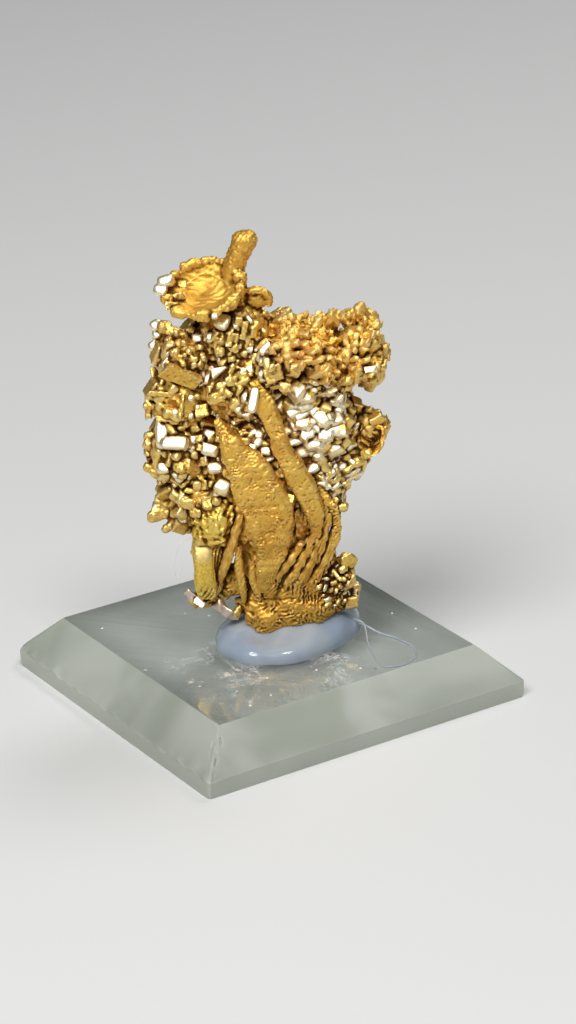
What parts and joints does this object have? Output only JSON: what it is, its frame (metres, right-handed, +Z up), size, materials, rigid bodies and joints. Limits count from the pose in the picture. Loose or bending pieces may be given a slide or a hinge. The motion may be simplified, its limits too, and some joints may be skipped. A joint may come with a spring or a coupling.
{
  "type": "crystallised gold specimen on display base",
  "caption": "Crystallised native gold with flat blades, rods, blocky crystals and a dished plate, held upright by hot glue on a small bevelled clear acrylic base.",
  "frame": {"origin": "middle of the base's underside, on the surface it stands on", "axes": "+Z up through the specimen; X and Y along the base's sides. The gold's display face looks towards -Y turned 32.5 degrees towards -X"},
  "size_m": [0.0382, 0.0382, 0.0497],
  "materials": {
    "clear_acrylic": "polished top, finely ground bevels",
    "hot_glue": "smooth, milky and glossy",
    "native_gold": "natural, satin with bright crystal faces"
  },
  "bodies": {
    "root": {"acrylic_base": "clear_acrylic", "mounting_glue": "hot_glue", "glue_string": "hot_glue", "gold_nugget": "native_gold"}
  },
  "joints": []
}
